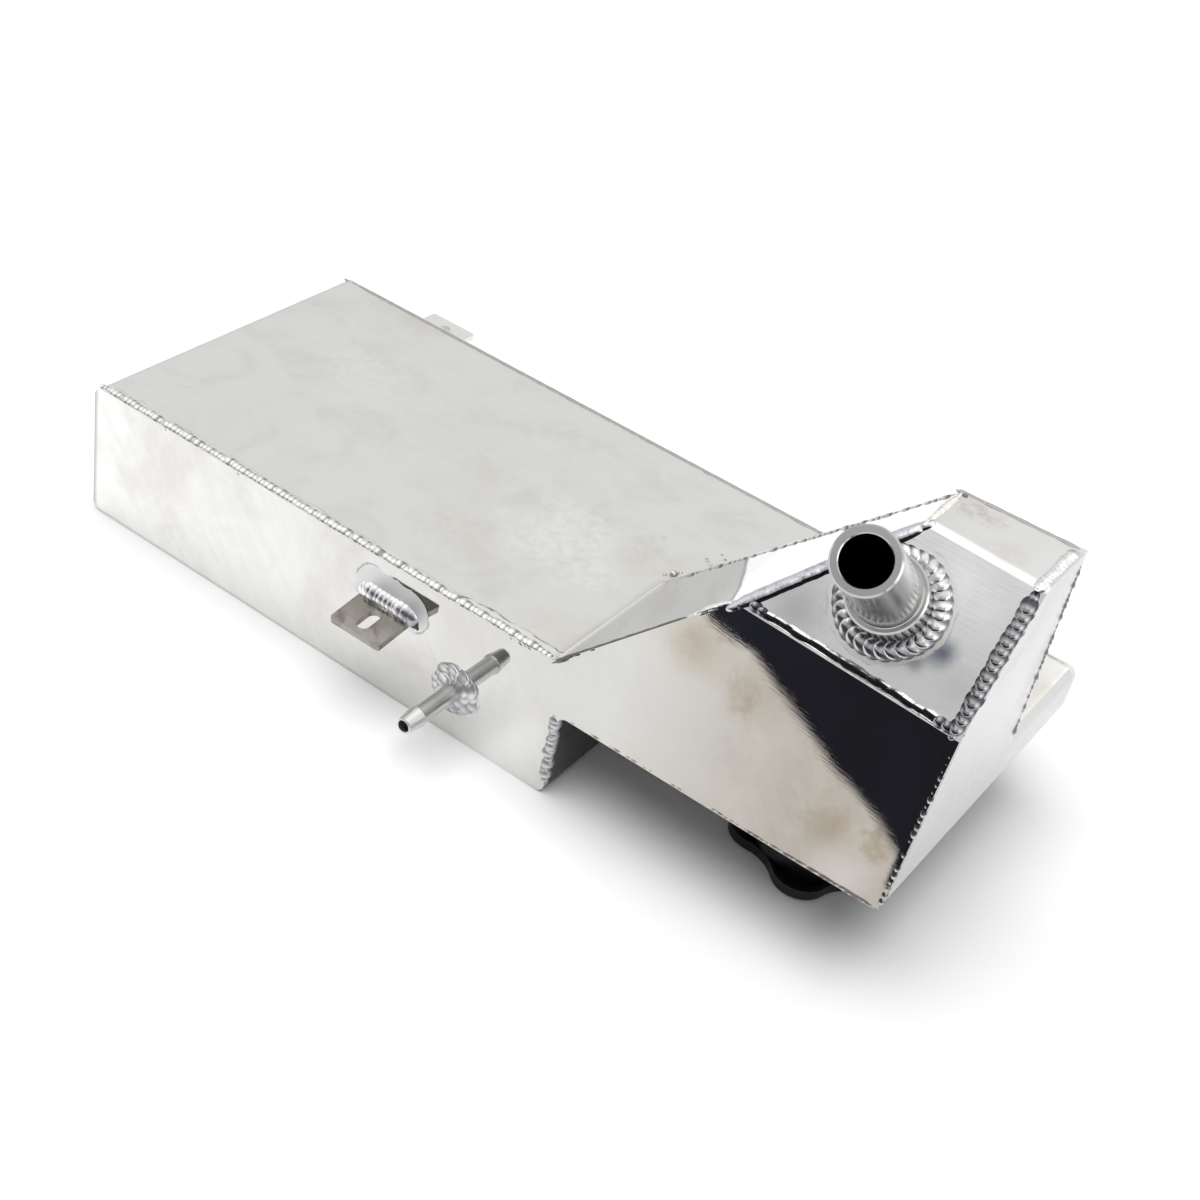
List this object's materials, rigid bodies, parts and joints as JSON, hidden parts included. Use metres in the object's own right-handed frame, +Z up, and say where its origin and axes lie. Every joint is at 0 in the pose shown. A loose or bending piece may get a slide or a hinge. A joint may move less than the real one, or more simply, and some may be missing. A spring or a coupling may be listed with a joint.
{
  "type": "coolant expansion tank",
  "caption": "Welded sheet-aluminium coolant expansion tank: flat box with a raised well, angled hose outlet, return barb, slotted tabs and a black lobed screw cap.",
  "frame": {"origin": "middle of the flat face that the tank rests on, under the full-depth part of the box", "axes": "+X along the tank towards the raised end with the well, +Y from the side with the barb to the far side, +Z up as the tank lies here. In the car the tank is the other way up, with the screw cap on top."},
  "size_m": [0.401, 0.2136, 0.1908],
  "materials": {
    "polished_sheet": "satin polish with faint cloudy stains",
    "mirror_sheet": "bright hand polish, mirror-like",
    "plain_sheet": "mill finish",
    "turned_aluminium": "fine turned finish",
    "stained_sheet": "dull, heat-stained",
    "weld_metal": "bright rippled weld metal",
    "black_plastic": "moulded, satin",
    "black_rubber": "smooth",
    "brass_valve": "stamped",
    "spring_steel": "drawn wire"
  },
  "bodies": {
    "tank": {"top_sheet": "polished_sheet", "floor_sheet": "polished_sheet", "near_side_plate": "mirror_sheet", "far_side_plate": "mirror_sheet", "well_far_wall": "mirror_sheet", "baffle_plate": "plain_sheet", "outlet_stub": "turned_aluminium", "return_barb": "turned_aluminium", "filler_neck": "turned_aluminium", "near_mount_tab": "stained_sheet", "far_mount_tab": "stained_sheet", "outlet_weld": "weld_metal", "barb_weld": "weld_metal", "near_tab_weld": "weld_metal", "far_tab_weld": "weld_metal", "neck_weld": "weld_metal", "near_top_seam": "weld_metal", "near_ramp_seam": "weld_metal", "face_seam": "weld_metal", "ridge_seam": "weld_metal", "end_top_seam": "weld_metal", "near_end_seam": "weld_metal", "well_corner_seam": "weld_metal", "well_top_seam": "weld_metal", "well_foot_seam": "weld_metal", "far_top_seam": "weld_metal", "near_under_seam": "weld_metal", "far_under_seam": "weld_metal"},
    "plug": {"cap_plug": "black_plastic", "cap_gasket": "black_rubber", "plug_ring": "black_rubber", "relief_spring": "spring_steel"},
    "cap": {"screw_cap": "black_plastic"},
    "relief": {"relief_valve": "brass_valve", "vacuum_spring": "spring_steel"},
    "vacuum": {"vacuum_valve": "brass_valve"}
  },
  "joints": [
    {"name": "cap_lift", "type": "slide", "parent": "tank", "child": "plug", "axis": [0, 0, -1], "range_m": [0, 0.008]},
    {"name": "cap_turn", "type": "hinge", "parent": "plug", "child": "cap", "pos_m": [0.2222, -0.022, 0], "axis": [0, 0, -1], "range_deg": [0, 720]},
    {"name": "relief_open", "type": "slide", "parent": "plug", "child": "relief", "axis": [0, 0, -1], "range_m": [0, 0.003], "stiffness_N_per_m": 6000, "springref_m": -0.006, "deforming": ["relief_spring"]},
    {"name": "vacuum_open", "type": "slide", "parent": "relief", "child": "vacuum", "axis": [0, 0, 1], "range_m": [0, 0.0012], "stiffness_N_per_m": 300, "springref_m": -0.002, "deforming": ["vacuum_spring"]}
  ],
  "couplings": [
    {"joint": "cap_lift", "follows": "cap_turn", "m_per_rad": 0.00063662}
  ]
}
